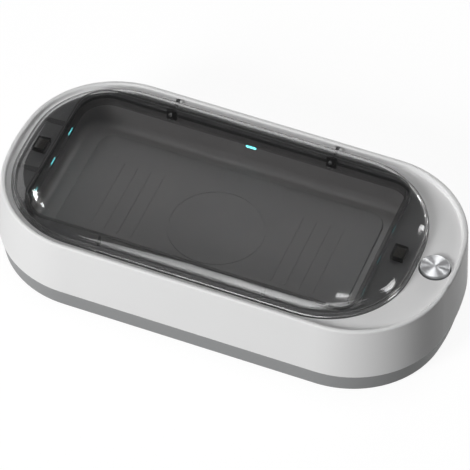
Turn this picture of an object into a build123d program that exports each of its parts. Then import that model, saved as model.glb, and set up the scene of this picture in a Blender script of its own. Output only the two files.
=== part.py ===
from build123d import *
from math import atan2, cos, degrees, radians, sin, sqrt
import os

os.makedirs("parts", exist_ok=True)

# UV sanitizer box for phones, in millimetres. +X runs to the button end, +Y to the hinge side, +Z up.
# The origin is on the table, under the middle of the box.

# Body: the lid fits inside its rim, and the skirt that closes the chamber fits inside the lid
body_length = 226.0
body_width = 114.4
body_corner = 48.0
body_end = 108.0
foot_proud = 1.0
base_height = 11.5
base_inset = 0.6
base_wall = 3.0
base_floor = 2.2
seam_flare = 1.75
seam_reveal = 0.3
base_round = 0.8
case_height = 30.2
case_wall = 2.5
rim_width = 2.4
rim_round = 1.0
rim_inner_round = 0.9
deck_drop = 2.7
deck_thickness = 2.2
deck_foot_round = 0.8
plate_thickness = 0.6
plate_reach = 0.2
plate_lip = 0.8
plate_land = 0.5
lip_height = 2.0
lip_thickness = 1.4

# Clearances
slip = 0.15
running = 0.05
apart = 0.3

# Lid
lid_end_overhang = 16.1
lid_side_overhang = 7.2
lid_gap = 3.1
button_deck = 17.3
lid_corner = 42.4
lid_end = 195.0
lid_lift = 0.6
lid_edge = 1.2
lid_wall = 1.8
lid_rib_spacing = 33.0
lid_rib_thickness = 0.8
flank_width = 6.0
flank_rise = 3.1
flank_step = 15
crown_width = 28.0
crown_rise = 0.9
crown_steps = (0.12, 0.3, 0.6, 1)

# Chamber and the skirt of the lid that closes it
chamber_offset = 1.2
chamber_depth = 19.5
skirt_left_corner = 15.0
skirt_right_corner = 10.5
skirt_wall = 1.6
skirt_drop = 4.5
mouth_gap = 0.8
tray_wall = 1.8
tray_floor = 2.4
tray_flange = 3.0
tray_flange_thickness = 1.5
floor_round = 4.0
band_width = 0.9
band_depth = 0.8

# Hinges
hinge_spacing = 83.0
hinge_reach = 1.5
hinge_height = 1.0
knuckle_radius = 1.3
ear_radius = 1.2
ear_thickness = 1.2
pin_radius = 0.6
arm_width = 1.4
arm_clearance = 0.4
arm_drop = 2.8
foot_width = 5.0
foot_thickness = 1.1
foot_height = 6.2
foot_rise = 0.6
arm_screw_pitch = 3.6
arm_screw_radius = 0.5
arm_screw_head = 1.0
arm_screw_head_height = 0.6
arm_screw_length = 2.5

# Power button
button_radius = 7.2
button_gap = 0.6
button_shift = 0.25
button_rise = 1.6
button_cap_height = 2.4
button_bevel = 0.35
button_travel = 0.5
stem_radius = 6.9
stem_height = 2.8
stem_post_radius = 1.6
stem_tab_reach = 9.8
stem_tab_width = 4.0
guide_depth = 3.4
guide_wall = 1.4
spring_radius = 5.2
spring_wire = 0.6
spring_turns = 3.0
spring_height = 5.0
switch_side = 6.2
switch_height = 2.2
plunger_radius = 1.0
plunger_rise = 0.8
plunger_depth = 1.2
button_board_thickness = 1.2
button_board_length = 13.0
button_board_width = 31.0
button_screw_spacing = 26.0

# Lamps: one slot of light per lamp in the chamber wall
end_lamp_count = 3
side_lamp_count = 1
lamp_height = 12.0
lamp_pitch = 21.4
lamp_slot_length = 5.4
lamp_slot_height = 1.5
lens_flange_length = 7.6
lens_flange_height = 3.8
lens_flange = 0.8
led_side = 3.5
led_depth = 1.4
led_corner = 0.4
lamp_board_height = 7.0
lamp_board_thickness = 1.0
lamp_post_radius = 1.5
lamp_screw_radius = 0.7
lamp_screw_head = 1.3
lamp_screw_head_height = 0.8
lamp_screw_length = 2.6
end_board_length = 56.0
side_board_length = 26.0
side_post_spacing = 18.0

# Charger
mat_length = 148.0
mat_width = 76.0
mat_corner = 8.0
mat_thickness = 1.2
mat_recess = 0.6
mat_edge = 0.4
mat_ring_radius = 24.0
mat_ring_width = 1.2
mat_ring_height = 0.3
mat_rib_spacing = 7.0
mat_rib_count = 4
mat_rib_length = 44.0
mat_rib_start = 36.0
coil_radius = 24.0
coil_hole = 10.5
coil_thickness = 1.0
ferrite_side = 52.0
ferrite_thickness = 1.0
holder_length = 72.0
holder_width = 60.0
holder_thickness = 1.6
holder_screw_x = 62.0
holder_screw_y = 44.0
holder_boss_radius = 2.6
holder_screw_bite = 1.0

# Main board and charging socket
main_board_length = 92.0
main_board_width = 58.0
main_board_lift = 1.2
main_board_thickness = 1.6
main_board_screw_inset = 4.0
main_board_post_radius = 2.6
main_board_screw_length = 3.2
socket_width = 8.94
socket_height = 3.26
socket_length = 7.35
socket_shell = 0.3
socket_tongue_width = 6.69
socket_tongue_height = 0.7
socket_tongue_length = 5.0
socket_insert = 1.0
socket_setback = 0.5
socket_slot_gap = 0.3

# Pieces on the main board
chip_side = 7.0
chip_height = 1.0
chip_spots = [(-8.0, 2.0), (14.0, -4.0), (-26.0, -6.0)]
power_coil_side = 6.6
power_coil_corner = 1.5
power_coil_height = 3.0
power_coil_insets = (14.0, 24.0)
power_coil_y = 12.0
capacitor_radius = 3.2
capacitor_height = 6.5
capacitor_spots = [(-14.0, 14.0), (12.0, 12.0)]
lead_socket_length = 9.5
lead_socket_width = 4.5
lead_socket_height = 4.2
lead_socket_wall = 0.8
lead_socket_inset = 1.0
lead_socket_pitch = 16.0
lead_socket_count = 4

# Fasteners, feet and magnets. A screw's rounding and cross are shares of its head's height and radius.
screw_head_round = 0.35
cross_length = 1.3
cross_width = 0.26
case_boss_radius = 3.0
case_screw_radius = 1.3
case_screw_head = 2.4
case_screw_head_height = 1.6
case_screw_depth = 2.5
case_screw_length = 14.0
base_boss_height = 7.0
base_boss_wall = 1.0
end_screw_inset = 10.5
end_screw_spacing = 44.0
button_end_screw_inset = 23.5
button_end_screw_spacing = 60.0
side_screw_inset = 6.3
side_screw_x = 25.0
small_screw_radius = 0.9
small_screw_head = 1.8
small_screw_head_height = 1.0
tray_ear_spacing = 124.0
tray_ear_reach = 3.5
tray_ear_width = 7.0
tray_ear_thickness = 1.8
tray_boss_radius = 2.3
tray_boss_length = 4.5
tray_screw_length = 4.8
foot_radius = 6.0
foot_recess = 0.8
foot_edge = 0.5
foot_inset_x = 31.0
foot_inset_y = 25.2
magnet_length = 4.6
magnet_width = 6.4
magnet_thickness = 1.2
deck_magnet_thickness = 2.0
magnet_holder_wall = 0.9
tab_thickness = 1.1
tab_reach = 3.0
tab_drop = 1.4
buffer_radius = 0.7
buffer_height = 0.3
sensor_length = 4.0
sensor_width = 3.0
sensor_thickness = 1.5
sensor_gap = 4.0

# Levels and half sizes worked out from the values above
half_length = body_length / 2
half_width = body_width / 2
lid_half_length = half_length - rim_width - (lid_gap + button_deck) / 2
lid_half_width = half_width - rim_width - lid_gap
skirt_length = 2 * (lid_half_length - lid_end_overhang)
skirt_width = 2 * (lid_half_width - lid_side_overhang)
skirt_half_width = skirt_width / 2
base_z = foot_proud
floor_z = base_z + base_floor
seam_z = base_z + base_height
rim_z = seam_z + case_height
deck_z = rim_z - deck_drop
under_deck_z = deck_z - deck_thickness
plate_z = deck_z - plate_thickness
lid_x = (lid_gap - button_deck) / 2
lid_right = lid_x + lid_half_length
lid_left = lid_x - lid_half_length
lid_z = deck_z + lid_lift
edge_z = lid_z + lid_edge
flank_z = edge_z + flank_rise
lid_top = flank_z + crown_rise
chamber_x = lid_x - chamber_offset
chamber_z = deck_z - chamber_depth
skirt_z = deck_z - skirt_drop
mouth_length = skirt_length + 2 * mouth_gap
mouth_width = skirt_width + 2 * mouth_gap
tray_under_z = chamber_z - tray_floor
lamp_z = chamber_z + lamp_height
hinge_xs = (chamber_x - hinge_spacing / 2, chamber_x + hinge_spacing / 2)
hinge_y = lid_half_width + hinge_reach
hinge_z = deck_z + hinge_height
button_x = (lid_right + half_length - rim_width) / 2 - button_shift
button_hole = button_radius + button_gap
button_top = deck_z + button_rise
stem_top = button_top - button_cap_height
stem_under = stem_top - stem_height
button_board_top = stem_under - spring_height
switch_top = button_board_top + switch_height
lamp_board_gap = lens_flange + led_depth
foot_top = edge_z + foot_rise
foot_low = foot_top - foot_height
arm_screw_z = (foot_top + foot_low) / 2
pin_length = 2 * (arm_width / 2 + arm_clearance + ear_thickness)
arm_screw_spots = [
    Pos(x, skirt_half_width - skirt_wall, arm_screw_z + s * arm_screw_pitch / 2) * Rot(90, 0, 0)
    for x in hinge_xs
    for s in (-1, 1)
]
plunger_top = switch_top + plunger_rise
base_top_inset = seam_reveal - seam_flare
base_boss_top = base_z + base_boss_height
base_boss_radius = case_boss_radius + base_boss_wall
screw_seat_z = base_z + case_screw_depth
case_screw_top = screw_seat_z + case_screw_length
tray_boss_z = under_deck_z - tray_boss_length
main_board_rear = half_width - base_inset - base_wall - apart
socket_z = floor_z + main_board_lift + main_board_thickness + socket_height / 2
main_board_z = floor_z + main_board_lift
main_board_top = main_board_z + main_board_thickness
coil_z = tray_under_z - coil_thickness
ferrite_z = coil_z - ferrite_thickness
holder_z = ferrite_z - holder_thickness


# Flat outline with straight sides, round corners and gently bowed ends, shrunk by inset.
def bowed_outline(x, z, half_x, half_y, corner, end, inset):
    end_x = half_x - end
    side_y = half_y - corner
    corner_x = end_x + sqrt((end - corner) ** 2 - side_y**2)
    turn = degrees(atan2(side_y, corner_x - end_x))
    small = corner - inset
    y = half_y - inset
    edges = [
        CenterArc((end_x, 0), end - inset, -turn, 2 * turn),
        CenterArc((corner_x, side_y), small, turn, 90 - turn),
        Line((corner_x, y), (-corner_x, y)),
        CenterArc((-corner_x, side_y), small, 90, 90 - turn),
        CenterArc((-end_x, 0), end - inset, 180 - turn, 2 * turn),
        CenterArc((-corner_x, -side_y), small, 180 + turn, 90 - turn),
        Line((-corner_x, -y), (corner_x, -y)),
        CenterArc((corner_x, -side_y), small, 270, 90 - turn),
    ]
    return Pos(x, 0, z) * make_face(edges)


def body_face(inset, z):
    return bowed_outline(0, z, half_length, half_width, body_corner, body_end, inset)


def lid_face(inset, z):
    return bowed_outline(lid_x, z, lid_half_length, lid_half_width, lid_corner, lid_end, inset)


# Block in the skirt's outline, rounder at its left end, grown by margin, from one level to another.
def skirt_block(margin, low, high):
    face = Rectangle(skirt_length + 2 * margin, skirt_width + 2 * margin)
    for end, corner in ((0, skirt_left_corner), (-1, skirt_right_corner)):
        face = fillet(face.vertices().group_by(Axis.X)[end], corner + margin)
    return extrude(Pos(chamber_x, 0, low) * face, high - low)


def mouth_block(margin, low, high):
    return skirt_block(mouth_gap + margin, low, high)


# The same for the mat that lies in the chamber
def mat_block(margin, low, high):
    face = RectangleRounded(mat_length + 2 * margin, mat_width + 2 * margin, mat_corner + margin)
    return extrude(Pos(chamber_x, 0, low) * face, high - low)


def post(x, y, low, high, radius):
    return Pos(x, y, (low + high) / 2) * Cylinder(radius, high - low)


def block(low, high):
    size = [b - a for a, b in zip(low, high)]
    middle = [(a + b) / 2 for a, b in zip(low, high)]
    return Pos(*middle) * Box(*size)


def rod_along_x(x, y, z, length, radius):
    return Pos(x, y, z) * Rot(0, 90, 0) * Cylinder(radius, length)


# Pan-head screw with a cross recess: its head is above z = 0 and its shank below.
def screw(shank, length, head, head_height):
    body = post(0, 0, -length, 0, shank) + post(0, 0, 0, head_height, head)
    body = fillet(body.edges().group_by(Axis.Z)[-1], screw_head_round * head_height)
    bar = Box(cross_length * head, cross_width * head, head_height)
    cross = Pos(0, 0, head_height) * (bar + Rot(0, 0, 90) * bar)
    return body - cross


def small_screw(length):
    return screw(small_screw_radius, length, small_screw_head, small_screw_head_height)


# Puts one copy of a shape at each place and keeps them as separate solids.
def copies(shape, places):
    return Compound(children=[place * shape for place in places])


# How far the outside of the white case lies inside the rim's outline at a level.
def case_inset(z):
    return -seam_flare * (rim_z - z) / case_height


# The same for the grey base
def base_outer_inset(z):
    return base_inset + (base_top_inset - base_inset) * (z - base_z) / base_height


# Places of the charging socket, fasteners, feet and magnets, seen from above
socket_front = half_width - base_outer_inset(socket_z) - socket_setback
socket_back = socket_front - socket_length
end_screw_x = -half_length + end_screw_inset
button_end_screw_x = half_length - button_end_screw_inset
side_screw_y = half_width - side_screw_inset
case_screw_spots = [(end_screw_x, s * end_screw_spacing / 2) for s in (-1, 1)]
case_screw_spots += [(button_end_screw_x, s * button_end_screw_spacing / 2) for s in (-1, 1)]
case_screw_spots += [(side_screw_x, s * side_screw_y) for s in (-1, 1)]
tray_boss_y = mouth_width / 2 + tray_wall + tray_ear_reach
tray_screw_spots = [
    (chamber_x + sx * tray_ear_spacing / 2, sy * tray_boss_y) for sx in (-1, 1) for sy in (-1, 1)
]
button_screw_spots = [(button_x, s * button_screw_spacing / 2) for s in (-1, 1)]
holder_screw_spots = [
    (chamber_x + sx * holder_screw_x / 2, sy * holder_screw_y / 2) for sx in (-1, 1) for sy in (-1, 1)
]
foot_x = half_length - foot_inset_x
foot_y = half_width - foot_inset_y
foot_spots = [(sx * foot_x, sy * foot_y) for sx in (-1, 1) for sy in (-1, 1)]
magnet_xs = [
    (chamber_x - skirt_length / 2 + lid_left + lid_wall) / 2,
    (chamber_x + skirt_length / 2 + lid_right - lid_wall) / 2,
]
deck_magnet_reach = mouth_length / 2 + tray_wall + tray_flange + apart + magnet_length / 2
deck_magnet_xs = [chamber_x + s * deck_magnet_reach for s in (-1, 1)]
main_board_screw_x = main_board_length / 2 - main_board_screw_inset
power_coil_spots = [(inset - main_board_length / 2, power_coil_y) for inset in power_coil_insets]
main_board_screw_y = main_board_width / 2 - main_board_screw_inset
main_board_y = main_board_rear - main_board_width / 2
main_board_screw_spots = [
    (sx * main_board_screw_x, main_board_y + sy * main_board_screw_y) for sx in (-1, 1) for sy in (-1, 1)
]


# White case: walls, round rim, sunk deck with the chamber's mouth, button hole and hinge ears
def make_upper_case():
    outer = loft([body_face(-seam_flare, seam_z), body_face(0, rim_z)], ruled=True)
    outer = fillet(outer.edges().group_by(Axis.Z)[-1], rim_round)
    hollow = loft(
        [
            body_face(case_wall + case_inset(seam_z), seam_z),
            body_face(case_wall + case_inset(under_deck_z), under_deck_z),
        ],
        ruled=True,
    )
    recess = extrude(body_face(rim_width, deck_z), deck_drop)
    recess = fillet(recess.edges().group_by(Axis.Z)[0], deck_foot_round)
    shell = outer - hollow - recess
    rim = shell.faces().sort_by(Axis.Z)[-1]
    shell = fillet(rim.inner_wires()[0].edges(), rim_inner_round)
    shell -= mouth_block(0, under_deck_z, deck_z)
    shell -= plate_space(0) + mouth_block(plate_lip, under_deck_z, plate_z)
    shell -= post(button_x, 0, under_deck_z, deck_z, button_hole)
    for x in hinge_xs:
        shell -= hinge_slot(x)
        shell -= tab_notch(x)
        for middle in ear_xs(x):
            shell += rod_along_x(middle, hinge_y, hinge_z, ear_thickness, ear_radius)
            cheek = Box(ear_thickness, 2 * ear_radius, hinge_height)
            shell += Pos(middle, hinge_y, deck_z + hinge_height / 2) * cheek
        shell -= rod_along_x(x, hinge_y, hinge_z, pin_length, pin_radius)
    for x, y in case_screw_spots:
        shell += post(x, y, base_boss_top, under_deck_z, case_boss_radius)
        shell -= post(x, y, base_boss_top, case_screw_top, case_screw_radius)
    for x, y in tray_screw_spots:
        shell += post(x, y, tray_boss_z, under_deck_z, tray_boss_radius)
        shell -= post(x, y, tray_boss_z, under_deck_z, small_screw_radius)
    for x, y in button_screw_spots:
        shell += post(x, y, button_board_top, under_deck_z, tray_boss_radius)
        shell -= post(x, y, button_board_top, under_deck_z, small_screw_radius)
    return shell


# Slot through the deck for one hinge arm, with a wider pocket at the mouth for the arm's foot
def hinge_slot(x):
    half_slot = arm_width / 2 + arm_clearance
    far = half_width - rim_width - slip
    slot = block((x - half_slot, 0, under_deck_z), (x + half_slot, far, deck_z))
    return slot + foot_pocket(x, under_deck_z, deck_z)


def foot_pocket(x, low, high):
    half_foot = foot_width / 2 + arm_clearance
    far = skirt_half_width + foot_thickness + apart
    return block((x - half_foot, 0, low), (x + half_foot, far, high))


def tab_notch(x):
    half_tab = tab_thickness / 2 + arm_clearance
    far = skirt_half_width + tab_reach + apart
    return block((x - half_tab, -far, under_deck_z), (x + half_tab, 0, deck_z))


# Middles of the two ears that hold the pin of the hinge at x
def ear_xs(x):
    return [x + side * (arm_width / 2 + arm_clearance + ear_thickness / 2) for side in (-1, 1)]


# The dark plate's outline a little outside the lid's, less a gap, with land left at the button and the ears
def plate_space(gap):
    space = extrude(lid_face(gap - plate_reach, plate_z), plate_thickness)
    space -= post(button_x, 0, plate_z, deck_z, button_hole + plate_land + gap)
    for x in hinge_xs:
        for middle in ear_xs(x):
            half, radius = ear_thickness / 2 + gap, ear_radius + gap
            low, high = (middle - half, hinge_y - radius, plate_z), (middle + half, half_width, deck_z)
            space -= block(low, high)
    return space


# Thin dark plate sunk in the deck under the lid, with a lip that lines the mouth
def make_deck_plate():
    plate = plate_space(slip) + mouth_block(plate_lip - slip, under_deck_z + slip, plate_z)
    plate -= mouth_block(0, under_deck_z, deck_z)
    for x in hinge_xs:
        plate -= hinge_slot(x)
        plate -= tab_notch(x)
    return plate


# Outline of the charging socket, shrunk by margin, and a run of it along Y
def socket_face(margin):
    return SlotOverall(socket_width - 2 * margin, socket_height - 2 * margin)


def socket_run(face, low, high):
    return extrude(Plane.XZ.offset(-low) * Pos(0, socket_z) * face, low - high)


# Grey base: floor and side wall up to the seam, with a lip that the white case slides over
def make_base_cover():
    outer = loft([body_face(base_inset, base_z), body_face(base_top_inset, seam_z)], ruled=True)
    outer = fillet(outer.edges().group_by(Axis.Z)[0], base_round)
    hollow = loft(
        [body_face(base_inset + base_wall, floor_z), body_face(base_top_inset + base_wall, seam_z)],
        ruled=True,
    )
    lip_inset = case_wall + case_inset(seam_z + lip_height) + slip
    lip_low = seam_z - lip_height
    lip = extrude(body_face(lip_inset, lip_low), 2 * lip_height)
    lip -= extrude(body_face(lip_inset + lip_thickness, lip_low), 2 * lip_height)
    shell = outer - hollow + lip
    for x, y in case_screw_spots:
        shell += post(x, y, floor_z, base_boss_top, base_boss_radius)
        shell -= post(x, y, base_z, base_boss_top, case_screw_radius + slip)
        shell -= post(x, y, base_z, screw_seat_z, case_screw_head + apart)
    for x, y in main_board_screw_spots:
        shell += post(x, y, floor_z, main_board_z, main_board_post_radius)
        shell -= post(x, y, main_board_top - main_board_screw_length, main_board_z, small_screw_radius)
    for x, y in foot_spots:
        shell -= post(x, y, base_z, base_z + foot_recess, foot_radius)
    return shell - socket_run(socket_face(-socket_slot_gap), socket_back, half_width + seam_flare)


def make_rubber_feet():
    foot = post(0, 0, 0, foot_proud + foot_recess, foot_radius - slip)
    foot = fillet(foot.edges().group_by(Axis.Z)[0], foot_edge)
    return copies(foot, [Pos(x, y, 0) for x, y in foot_spots])


# Dark tray that forms the chamber: it hangs under the deck on four ears
def make_chamber_tray():
    outer = mouth_block(tray_wall, tray_under_z, under_deck_z)
    outer = fillet(outer.edges().group_by(Axis.Z)[0], floor_round)
    inner = mouth_block(0, chamber_z, under_deck_z)
    inner = fillet(inner.edges().group_by(Axis.Z)[0], floor_round)
    flange_low = under_deck_z - tray_flange_thickness
    flange = mouth_block(tray_wall + tray_flange, flange_low, under_deck_z)
    flange &= extrude(body_face(case_wall + apart, flange_low), tray_flange_thickness)
    for x, y in case_screw_spots:
        flange -= post(x, y, flange_low, under_deck_z, case_boss_radius + apart)
    for x, y in tray_screw_spots:
        flange -= post(x, y, flange_low, under_deck_z, tray_boss_radius + apart)
    tray = outer + flange
    ear_low = tray_boss_z - tray_ear_thickness
    wall_y = mouth_width / 2 + tray_wall / 2
    for x, y in tray_screw_spots:
        side = 1 if y > 0 else -1
        ear = Box(tray_ear_width, tray_boss_y - wall_y, tray_ear_thickness)
        tray += Pos(x, side * (wall_y + tray_boss_y) / 2, (ear_low + tray_boss_z) / 2) * ear
        tray += post(x, y, ear_low, tray_boss_z, tray_ear_width / 2)
        tray -= post(x, y, ear_low, tray_boss_z, small_screw_radius + slip)
    tray -= inner
    for x in hinge_xs:
        tray -= foot_pocket(x, foot_low - apart, under_deck_z)
    mat_low = chamber_z - mat_recess
    tray -= mat_block(slip, mat_low, chamber_z)
    for x, y in holder_screw_spots:
        boss_low = holder_z + holder_thickness
        tray += post(x, y, boss_low, tray_under_z, holder_boss_radius)
        tray -= post(x, y, boss_low, tray_under_z + holder_screw_bite, small_screw_radius)
    for wall in lamp_walls:
        tray += lamp_places(wall) * lamp_posts(wall)
        tray -= lamp_places(wall) * lamp_slots(wall)
    return tray


# Lamps. Each wall's pieces are drawn with x along the wall, y away from the chamber and z = 0
# at lamp height, and lamp_places turns them to their wall.
lamp_walls = {
    "left": (chamber_x - mouth_length / 2, 0, 90, end_lamp_count),
    "right": (chamber_x + mouth_length / 2, 0, -90, end_lamp_count),
    "rear": (chamber_x, mouth_width / 2, 0, side_lamp_count),
    "front": (chamber_x, -mouth_width / 2, 180, side_lamp_count),
}


def lamp_places(wall):
    x, y, turn, _ = lamp_walls[wall]
    return Pos(x, y, lamp_z) * Rot(0, 0, turn)


def lamp_xs(wall):
    count = lamp_walls[wall][3]
    return [lamp_pitch * (i - (count - 1) / 2) for i in range(count)]


def lamp_post_xs(wall):
    spacing = lamp_pitch if len(lamp_xs(wall)) > 1 else side_post_spacing
    return (-spacing / 2, spacing / 2)


# A plate standing along the wall, from one distance behind the chamber's face to another
def wall_plate(face, near, far):
    return extrude(Plane.XZ.offset(-near) * face, near - far)


def wall_rod(x, near, far, radius):
    return Pos(x, (near + far) / 2, 0) * Rot(90, 0, 0) * Cylinder(radius, far - near)


def lamp_posts(wall):
    near = tray_wall
    far = tray_wall + lamp_board_gap
    hole = far + lamp_board_thickness - lamp_screw_length
    posts = []
    for x in lamp_post_xs(wall):
        posts.append(wall_rod(x, near, far, lamp_post_radius) - wall_rod(x, hole, far, lamp_screw_radius))
    return Compound(children=posts)


def lamp_slots(wall):
    slot = wall_plate(SlotOverall(lamp_slot_length, lamp_slot_height), 0, tray_wall)
    return Compound(children=[Pos(x, 0, 0) * slot for x in lamp_xs(wall)])


def make_lenses(wall):
    bar = wall_plate(SlotOverall(lamp_slot_length, lamp_slot_height), 0, tray_wall)
    plate = RectangleRounded(lens_flange_length, lens_flange_height, lens_flange)
    lens = bar + wall_plate(plate, tray_wall, tray_wall + lens_flange)
    return copies(lens, [lamp_places(wall) * Pos(x, 0, 0) for x in lamp_xs(wall)])


def make_leds(wall):
    back = tray_wall + lamp_board_gap
    led = wall_plate(RectangleRounded(led_side, led_side, led_corner), back - led_depth, back)
    return copies(led, [lamp_places(wall) * Pos(x, 0, 0) for x in lamp_xs(wall)])


def make_lamp_board(wall):
    near = tray_wall + lamp_board_gap
    far = near + lamp_board_thickness
    length = end_board_length if len(lamp_xs(wall)) > 1 else side_board_length
    board = wall_plate(Rectangle(length, lamp_board_height), near, far)
    for x in lamp_post_xs(wall):
        board -= wall_rod(x, near, far, lamp_screw_radius)
    return lamp_places(wall) * board


def make_lamp_screws():
    seat = tray_wall + lamp_board_gap + lamp_board_thickness
    one = screw(lamp_screw_radius, lamp_screw_length, lamp_screw_head, lamp_screw_head_height)
    places = [
        lamp_places(wall) * Pos(x, seat, 0) * Rot(-90, 0, 0)
        for wall in lamp_walls
        for x in lamp_post_xs(wall)
    ]
    return copies(one, places)


# Soft mat that the phone lies on, with a raised ring over the charging coil and grip ribs
def make_charging_mat():
    low = chamber_z - mat_recess
    top = low + mat_thickness
    mat = mat_block(0, low, top)
    mat = fillet(mat.edges().group_by(Axis.Z)[-1], mat_edge)
    ring_top = top + mat_ring_height
    ring = post(chamber_x, 0, low, ring_top, mat_ring_radius)
    ring -= post(chamber_x, 0, low, ring_top, mat_ring_radius - mat_ring_width)
    mat += ring
    for side in (-1, 1):
        for i in range(mat_rib_count):
            x = chamber_x + side * (mat_rib_start + i * mat_rib_spacing)
            rib = Pos(x, 0, low) * Rot(0, 0, 90) * SlotOverall(mat_rib_length, mat_ring_width)
            mat += extrude(rib, mat_thickness + mat_ring_height)
    return mat


def make_charging_coil():
    ring = post(chamber_x, 0, coil_z, tray_under_z, coil_radius)
    return ring - post(chamber_x, 0, coil_z, tray_under_z, coil_hole)


def make_ferrite_plate():
    side = ferrite_side / 2
    return block((chamber_x - side, -side, ferrite_z), (chamber_x + side, side, coil_z))


def make_coil_holder():
    plate = RectangleRounded(holder_length, holder_width, holder_boss_radius)
    holder = extrude(Pos(chamber_x, 0, holder_z) * plate, holder_thickness)
    for x, y in holder_screw_spots:
        holder -= post(x, y, holder_z, ferrite_z, small_screw_radius + slip)
    return holder


def make_coil_screws():
    length = tray_under_z + holder_screw_bite - holder_z
    places = [Pos(x, y, holder_z) * Rot(180, 0, 0) for x, y in holder_screw_spots]
    return copies(small_screw(length), places)


# Main board, with a bay round the case screw post that stands beside it
def make_main_board():
    rear = main_board_rear
    half = main_board_length / 2
    board = block((-half, rear - main_board_width, main_board_z), (half, rear, main_board_top))
    for x, y in case_screw_spots:
        board -= post(x, y, main_board_z, main_board_top, base_boss_radius + apart)
    for x, y in main_board_screw_spots:
        board -= post(x, y, main_board_z, main_board_top, small_screw_radius + slip)
    return board


def make_board_screws():
    places = [Pos(x, y, main_board_top) for x, y in main_board_screw_spots]
    return copies(small_screw(main_board_screw_length), places)


# Pieces soldered on the main board: spots are measured from its middle.
def on_board(shape, spots):
    return copies(shape, [Pos(x, main_board_y + y, main_board_top) for x, y in spots])


def make_control_chips():
    chip = extrude(RectangleRounded(chip_side, chip_side, led_corner), chip_height)
    return on_board(chip, chip_spots)


def make_power_coils():
    coil = RectangleRounded(power_coil_side, power_coil_side, power_coil_corner)
    return on_board(extrude(coil, power_coil_height), power_coil_spots)


def make_capacitors():
    can = post(0, 0, 0, capacitor_height, capacitor_radius)
    can = fillet(can.edges().group_by(Axis.Z)[-1], led_corner)
    return on_board(can, capacitor_spots)


def make_lead_sockets():
    half_x = lead_socket_length / 2
    half_y = lead_socket_width / 2
    wall = lead_socket_wall
    body = block((-half_x, -half_y, 0), (half_x, half_y, lead_socket_height))
    body -= block((wall - half_x, wall - half_y, wall), (half_x - wall, half_y - wall, lead_socket_height))
    row = half_y + lead_socket_inset - main_board_width / 2
    middle = (lead_socket_count - 1) / 2
    return on_board(body, [((i - middle) * lead_socket_pitch, row) for i in range(lead_socket_count)])


# Charging inlet: a metal shell with a flat tongue, standing in the base's rear wall
def make_socket_shell():
    shell = socket_run(socket_face(0), socket_back, socket_front)
    return shell - socket_run(socket_face(socket_shell), socket_back + socket_shell, socket_front)


def make_socket_tongue():
    plug_stop = socket_back + socket_shell + socket_insert
    insert = socket_run(socket_face(socket_shell), socket_back + socket_shell, plug_stop)
    tongue = Rectangle(socket_tongue_width, socket_tongue_height)
    return insert + socket_run(tongue, plug_stop, plug_stop + socket_tongue_length)


def make_case_screws():
    one = screw(case_screw_radius, case_screw_length, case_screw_head, case_screw_head_height)
    return copies(one, [Pos(x, y, screw_seat_z) * Rot(180, 0, 0) for x, y in case_screw_spots])


def make_tray_screws():
    seat = tray_boss_z - tray_ear_thickness
    places = [Pos(x, y, seat) * Rot(180, 0, 0) for x, y in tray_screw_spots]
    return copies(small_screw(tray_screw_length), places)


# Magnets glued under the deck, and the sensor beside one of them that tells when the lid is shut
def make_deck_magnets():
    magnet = Box(magnet_length, magnet_width, deck_magnet_thickness)
    z = under_deck_z - deck_magnet_thickness / 2
    return copies(magnet, [Pos(x, 0, z) for x in deck_magnet_xs])


def make_lid_sensor():
    sensor = Box(sensor_length, sensor_width, sensor_thickness)
    y = magnet_width / 2 + sensor_gap + sensor_width / 2
    return Pos(deck_magnet_xs[1], y, under_deck_z - sensor_thickness / 2) * sensor


def make_lid_buffers():
    y = -(lid_half_width - lid_wall / 2)
    buffer = post(0, 0, deck_z, deck_z + buffer_height, buffer_radius)
    return copies(buffer, [Pos(x, y, 0) for x in hinge_xs])


# Power button: metal cap on a plastic stem, which a spring lifts off its board and switch
def make_button_cap():
    cap = post(button_x, 0, stem_top, button_top, button_radius)
    return chamfer(cap.edges().group_by(Axis.Z)[-1], button_bevel)


def make_button_stem():
    stem = post(button_x, 0, stem_under, stem_top, stem_radius)
    stem += post(button_x, 0, plunger_top, stem_under, stem_post_radius)
    tab_top = under_deck_z - apart
    half = stem_tab_width / 2
    low = (button_x - half, -stem_tab_reach, stem_under)
    return stem + block(low, (button_x + half, stem_tab_reach, tab_top))


def make_button_guide():
    inner = stem_radius + slip
    low = under_deck_z - guide_depth
    guide = post(button_x, 0, low, under_deck_z, inner + guide_wall)
    guide -= post(button_x, 0, low, under_deck_z, inner)
    half = stem_tab_width / 2 + apart
    reach = inner + guide_wall
    slot_low = stem_under - button_travel - apart
    return guide - block((button_x - half, -reach, slot_low), (button_x + half, reach, under_deck_z))


def make_button_spring():
    turns_height = spring_height - spring_wire
    path = Helix(turns_height / spring_turns, turns_height, spring_radius)
    wire = sweep(Plane(path @ 0, z_dir=path % 0) * Circle(spring_wire / 2), path)
    return Pos(button_x, 0, button_board_top + spring_wire / 2) * wire


def make_button_board():
    half_x = button_board_length / 2
    half_y = button_board_width / 2
    low = (button_x - half_x, -half_y, button_board_top - button_board_thickness)
    board = block(low, (button_x + half_x, half_y, button_board_top))
    for x, y in button_screw_spots:
        board -= post(x, y, low[2], button_board_top, small_screw_radius + slip)
    return board


def make_button_screws():
    seat = button_board_top - button_board_thickness
    places = [Pos(x, y, seat) * Rot(180, 0, 0) for x, y in button_screw_spots]
    return copies(small_screw(tray_screw_length), places)


def make_tact_switch():
    half = switch_side / 2
    low = (button_x - half, -half, button_board_top)
    body = block(low, (button_x + half, half, switch_top))
    well_low = switch_top - plunger_depth - button_travel - running
    return body - post(button_x, 0, well_low, switch_top, plunger_radius + running)


def make_switch_plunger():
    return post(button_x, 0, switch_top - plunger_depth, plunger_top, plunger_radius)


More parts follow.
